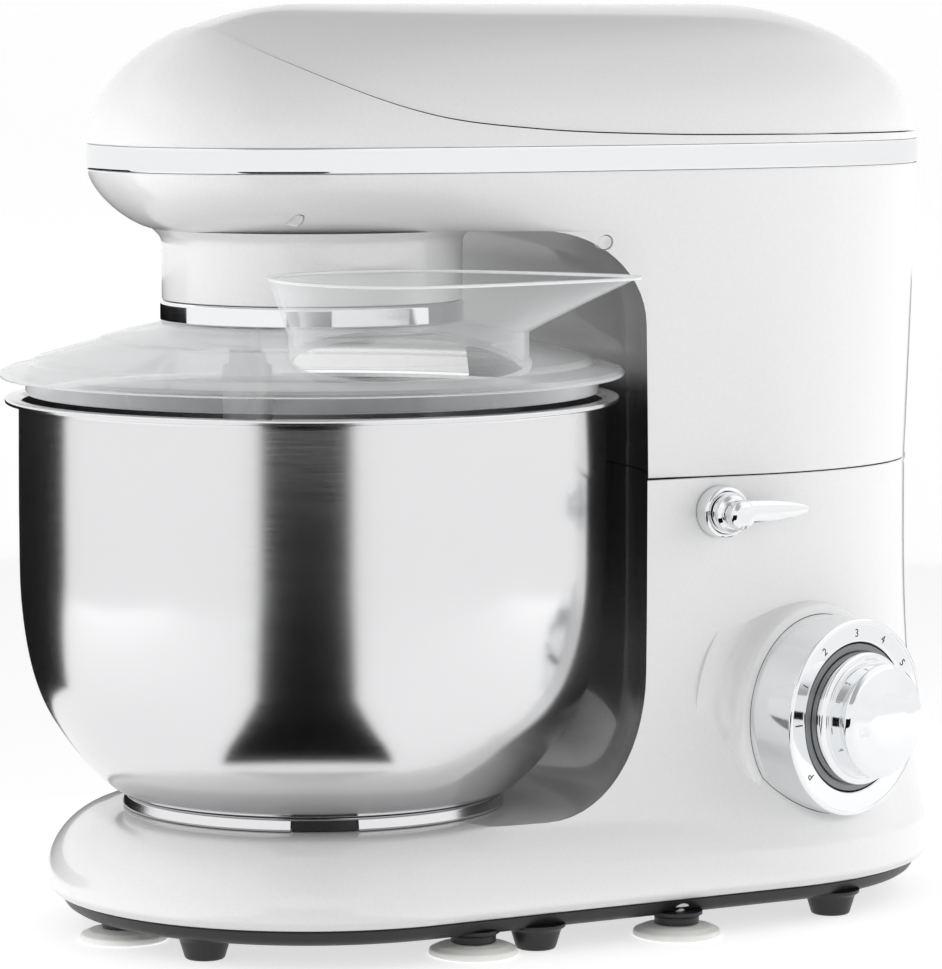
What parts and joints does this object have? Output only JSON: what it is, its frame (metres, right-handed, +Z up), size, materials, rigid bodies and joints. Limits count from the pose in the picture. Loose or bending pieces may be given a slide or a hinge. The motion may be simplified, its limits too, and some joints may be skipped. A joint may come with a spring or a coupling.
{
  "type": "stand mixer",
  "caption": "Tilt-head stand mixer with a steel bowl, clear splash lid and chute, chrome speed dial, release lever, and belt-driven planetary beater.",
  "frame": {"origin": "on the surface it stands on, under the middle of the overall box and on the plane of symmetry", "axes": "+Z up; the nose points along -Y; the speed knob and the release lever are on the +X side"},
  "size_m": [0.228, 0.366, 0.3371],
  "materials": {
    "white_shell": "gloss white with a faint pearl",
    "black_plastic": "satin black",
    "clear_rubber": "translucent soft silicone",
    "chrome": "polished chrome plating",
    "dial_grey": "satin grey",
    "bowl_steel": "polished stainless steel with fine brushing",
    "clear_plastic": "clear moulded plastic",
    "nylon": "natural nylon",
    "steel": "machined steel",
    "cast_aluminium": "cast and tumbled",
    "bronze": "sintered bronze",
    "copper": "enamelled windings on a steel pack",
    "board_green": "lacquered circuit board"
  },
  "bodies": {
    "base": {"base_housing": "white_shell", "base_plate": "black_plastic", "suction_foot_1": "clear_rubber", "suction_foot_2": "clear_rubber", "suction_foot_3": "clear_rubber", "suction_foot_4": "clear_rubber", "suction_foot_5": "clear_rubber", "bowl_seat": "nylon", "hinge_pin": "steel", "cord_inlet": "black_plastic", "control_board": "board_green", "lever_bush": "chrome", "latch_spring": "steel", "speed_bezel": "chrome", "speed_switch": "black_plastic"},
    "bowl": {"bowl": "bowl_steel", "bowl_foot_ring": "bowl_steel"},
    "speed_knob": {"knob_skirt": "dial_grey", "knob_cap": "chrome", "knob_spindle": "steel"},
    "release_lever": {"release_lever": "chrome", "lever_cap": "chrome", "latch_hook": "steel"},
    "head": {"head_top_cover": "white_shell", "head_visor": "white_shell", "trim_band": "chrome", "lower_housing": "white_shell", "column_cover": "black_plastic", "hub_cover": "white_shell", "hub_ring": "chrome", "splash_lid": "clear_plastic", "pouring_chute": "clear_plastic", "screw_plug_1": "white_shell", "screw_plug_2": "white_shell", "screw_plug_3": "white_shell", "screw_plug_4": "white_shell", "hinge_bush_left": "bronze", "hinge_bush_right": "bronze", "latch_keeper": "steel", "gearbox_frame": "cast_aluminium", "main_bearing_lower": "steel", "main_bearing_upper": "steel", "ring_gear": "steel", "drive_belt": "black_plastic", "motor_stator": "copper", "motor_bracket": "cast_aluminium", "motor_bearing_lower": "steel", "motor_bearing_upper": "steel"},
    "planetary": {"main_shaft": "steel", "large_pulley": "nylon", "planet_carrier": "cast_aluminium", "planet_bush": "bronze"},
    "rotor": {"motor_rotor": "steel", "motor_fan": "black_plastic", "small_pulley": "steel"},
    "beater": {"planet_pinion": "steel", "beater_shaft": "steel", "drive_pin": "steel", "flat_beater": "cast_aluminium"}
  },
  "joints": [
    {"name": "head_tilt", "type": "hinge", "parent": "base", "child": "head", "pos_m": [0, 0.167, 0.165], "axis": [-1, 0, 0], "range_deg": [0, 35]},
    {"name": "bowl_twist", "type": "hinge", "parent": "base", "child": "bowl", "pos_m": [0, -0.069, 0.045], "axis": [0, 0, 1], "range_deg": [0, 30]},
    {"name": "speed_turn", "type": "hinge", "parent": "base", "child": "speed_knob", "pos_m": [0.0735, 0.1022, 0.0762], "axis": [-0.9563, -0.2924, 0], "range_deg": [-38, 172]},
    {"name": "lever_turn", "type": "hinge", "parent": "base", "child": "release_lever", "pos_m": [0.07, 0.062, 0.1525], "axis": [-1, 0, 0], "range_deg": [0, 40], "stiffness_Nm_per_rad": 0.05},
    {"name": "planetary_spin", "type": "hinge", "parent": "head", "child": "planetary", "pos_m": [0, -0.069, 0.24], "axis": [0, 0, 1], "continuous": true},
    {"name": "rotor_spin", "type": "hinge", "parent": "head", "child": "rotor", "pos_m": [0, 0.113, 0.24], "axis": [0, 0, 1], "continuous": true},
    {"name": "beater_spin", "type": "hinge", "parent": "planetary", "child": "beater", "pos_m": [0, -0.095, 0.24], "axis": [0, 0, 1], "continuous": true}
  ],
  "couplings": [
    {"joint": "rotor_spin", "follows": "planetary_spin", "ratio": 5.3333},
    {"joint": "beater_spin", "follows": "planetary_spin", "ratio": -3}
  ]
}
